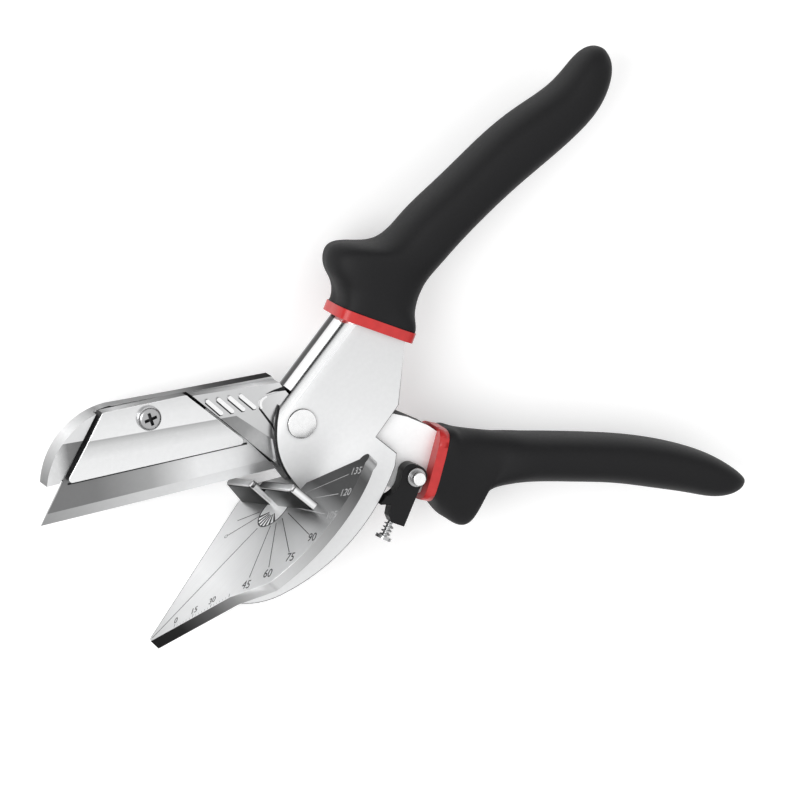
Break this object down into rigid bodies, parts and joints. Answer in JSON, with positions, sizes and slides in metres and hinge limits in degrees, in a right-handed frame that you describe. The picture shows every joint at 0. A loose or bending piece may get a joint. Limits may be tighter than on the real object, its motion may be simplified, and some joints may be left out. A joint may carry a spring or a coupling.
{
  "type": "hand-held mitre shear",
  "caption": "Hand-held mitre shear: a replaceable trapezoid blade on one lever closes onto a fan-shaped protractor table with a fence, with rubber grips and a swinging lock latch.",
  "frame": {"origin": "centre of the protractor on the table's working face, in the plane of the blade", "axes": "+X runs back along the zero line from the table's tip towards the grips, +Y stands off the table's face, +Z is the pivot's direction, up when the tool lies on its side; stored with the jaws fully open and the latch resting on the side plate's rim"},
  "size_m": [0.182, 0.145, 0.0499],
  "materials": {
    "polished_steel": "polished and plated sheet steel, slightly soft reflections",
    "table_steel": "fine brushed face with engraved dark lines",
    "hub_steel": "serrated, satin",
    "lever_metal": "satin cast face",
    "clamp_metal": "bright satin",
    "blade_steel": "ground, with a brighter honed bevel",
    "fastener_steel": "zinc plated",
    "pin_chrome": "bright turned steel",
    "spring_steel": "bright wire",
    "bush_brass": "satin",
    "grip_rubber": "matte moulded rubber",
    "collar_red": "glossy red",
    "latch_black": "satin black moulding"
  },
  "bodies": {
    "frame": {"frame_channel": "polished_steel", "mitre_table": "table_steel", "hub_disc": "hub_steel", "far_fence": "polished_steel", "near_fence": "polished_steel", "upper_collar": "collar_red", "upper_grip": "grip_rubber", "pivot_rivet": "polished_steel", "pivot_washers": "fastener_steel"},
    "lever": {"blade_lever": "lever_metal", "pivot_bush": "bush_brass", "return_spring": "spring_steel", "blade": "blade_steel", "blade_pegs": "fastener_steel", "clamp_plate": "clamp_metal", "clamp_screw": "fastener_steel", "lower_collar": "collar_red", "lower_grip": "grip_rubber", "latch_pin": "pin_chrome", "latch_ring": "pin_chrome"},
    "latch": {"latch_body": "latch_black", "latch_spring": "spring_steel"},
    "plunger": {"latch_screw": "fastener_steel"}
  },
  "joints": [
    {"name": "jaw_pivot", "type": "hinge", "parent": "frame", "child": "lever", "pos_m": [0.0202, 0.0116, 0], "axis": [0, 0, 1], "range_deg": [0, 35.6], "stiffness_Nm_per_rad": 0.45, "springref_deg": -28.65},
    {"name": "latch_pivot", "type": "hinge", "parent": "lever", "child": "latch", "pos_m": [0.0304, -0.0203, 0], "axis": [0, 0, 1], "range_deg": [0, 20]},
    {"name": "plunger_slide", "type": "slide", "parent": "latch", "child": "plunger", "axis": [0.944, 0.33, 0], "range_m": [0, 0.0024], "stiffness_N_per_m": 400, "springref_m": -0.001, "deforming": ["latch_spring"]}
  ]
}
